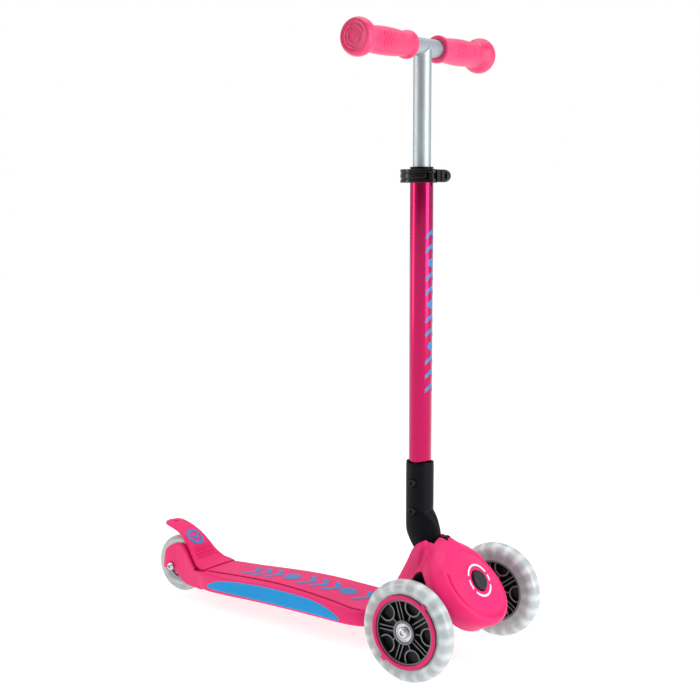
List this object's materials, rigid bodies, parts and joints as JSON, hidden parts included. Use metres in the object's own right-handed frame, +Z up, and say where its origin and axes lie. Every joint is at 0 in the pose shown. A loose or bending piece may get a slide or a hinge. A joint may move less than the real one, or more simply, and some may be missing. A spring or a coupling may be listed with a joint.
{
  "type": "kick scooter",
  "caption": "Folding three-wheel kick scooter for a small child, lean-to-steer, with light-up front wheels, rear foot brake and telescopic T-bar.",
  "frame": {"origin": "on the ground plane under the middle of the overall box", "axes": "+X forward, +Y to the rider's left, +Z up"},
  "size_m": [0.5633, 0.2774, 0.7636],
  "materials": {
    "pink_plastic": "satin moulded nylon, fine spark-eroded grain",
    "pink_anodised": "bright anodised",
    "pink_soft": "translucent soft moulding",
    "blue_plastic": "satin moulded nylon",
    "black_plastic": "satin glass-filled nylon",
    "graphite_plastic": "satin moulded nylon",
    "black_rubber": "matt",
    "clear_tyre": "clear cast polyurethane",
    "lamp": "diffusing lens over white lamps",
    "silver_tube": "satin anodised",
    "silver_core": "satin",
    "steel": "zinc plated"
  },
  "bodies": {
    "chassis": {"deck_body": "pink_plastic", "side_insert_left": "blue_plastic", "side_insert_right": "blue_plastic", "front_housing": "pink_plastic", "kingpin": "steel", "kingpin_nut": "steel", "fold_pin": "steel", "housing_screw_1": "steel", "housing_screw_2": "steel", "housing_screw_3": "steel", "housing_screw_4": "steel", "rear_axle_bolt": "steel", "rear_axle_nut": "steel", "rear_bearing_spacer": "steel", "brake_pin": "steel", "brake_spring": "steel"},
    "truck": {"truck_beam": "black_plastic", "steering_bush": "black_rubber", "axle_bolt_left": "steel", "axle_bolt_right": "steel", "axle_spacer_left": "steel", "axle_spacer_right": "steel", "axle_magnet_left": "steel", "axle_magnet_right": "steel"},
    "front_wheel_left": {"front_tyre_left": "clear_tyre", "light_ring_left": "lamp", "wheel_core_left": "graphite_plastic", "trim_ring_left": "pink_plastic", "bearing_left_inner": "steel", "bearing_left_outer": "steel"},
    "front_wheel_right": {"front_tyre_right": "clear_tyre", "light_ring_right": "lamp", "wheel_core_right": "graphite_plastic", "trim_ring_right": "pink_plastic", "bearing_right_inner": "steel", "bearing_right_outer": "steel"},
    "rear_wheel": {"rear_tyre": "clear_tyre", "rear_core": "silver_core", "bearing_rear_left": "steel", "bearing_rear_right": "steel"},
    "brake_pedal": {"brake": "pink_plastic"},
    "steering_lock_button": {"lock_button": "black_plastic"},
    "folding_button": {"fold_button": "black_plastic"},
    "stem": {"elbow": "black_plastic", "elbow_bolt_upper": "black_plastic", "elbow_bolt_lower": "black_plastic", "outer_tube": "pink_anodised", "tube_bush": "black_plastic", "clamp_collar": "black_plastic", "clamp_bolt": "steel", "clamp_nut": "black_plastic", "clamp_lever_pin": "steel"},
    "quick_release_lever": {"clamp_lever": "black_plastic"},
    "bar": {"handlebar": "silver_tube", "grip_left": "pink_soft", "grip_right": "pink_soft"}
  },
  "joints": [
    {"name": "stem_fold", "type": "hinge", "parent": "chassis", "child": "stem", "pos_m": [0.1815, 0, 0.126], "axis": [0, -1, 0], "range_deg": [0, 86]},
    {"name": "lean_steer", "type": "hinge", "parent": "chassis", "child": "truck", "pos_m": [0.255, 0, 0.103], "axis": [0.866, 0, 0.5], "range_deg": [-14, 14], "stiffness_Nm_per_rad": 90},
    {"name": "left_wheel_spin", "type": "hinge", "parent": "truck", "child": "front_wheel_left", "pos_m": [0.2195, 0.102, 0.0605], "axis": [0, 1, 0], "continuous": true},
    {"name": "right_wheel_spin", "type": "hinge", "parent": "truck", "child": "front_wheel_right", "pos_m": [0.2195, -0.102, 0.0605], "axis": [0, 1, 0], "continuous": true},
    {"name": "rear_wheel_spin", "type": "hinge", "parent": "chassis", "child": "rear_wheel", "pos_m": [-0.24, 0, 0.04], "axis": [0, 1, 0], "continuous": true},
    {"name": "brake_press", "type": "hinge", "parent": "chassis", "child": "brake_pedal", "pos_m": [-0.176, 0, 0.041], "axis": [0, -1, 0], "range_deg": [0, 2], "stiffness_Nm_per_rad": 8},
    {"name": "steering_lock_press", "type": "slide", "parent": "chassis", "child": "steering_lock_button", "axis": [-0.866, 0, -0.5], "range_m": [0, 0.004]},
    {"name": "fold_release_press", "type": "slide", "parent": "chassis", "child": "folding_button", "axis": [0.5, 0, -0.866], "range_m": [0, 0.003], "stiffness_N_per_m": 600},
    {"name": "bar_height", "type": "slide", "parent": "stem", "child": "bar", "axis": [0, 0, 1], "range_m": [-0.1, 0]},
    {"name": "clamp_lever_turn", "type": "hinge", "parent": "stem", "child": "quick_release_lever", "pos_m": [0.1895, -0.0143, 0.5882], "axis": [0, 0, 1], "range_deg": [0, 150]}
  ]
}
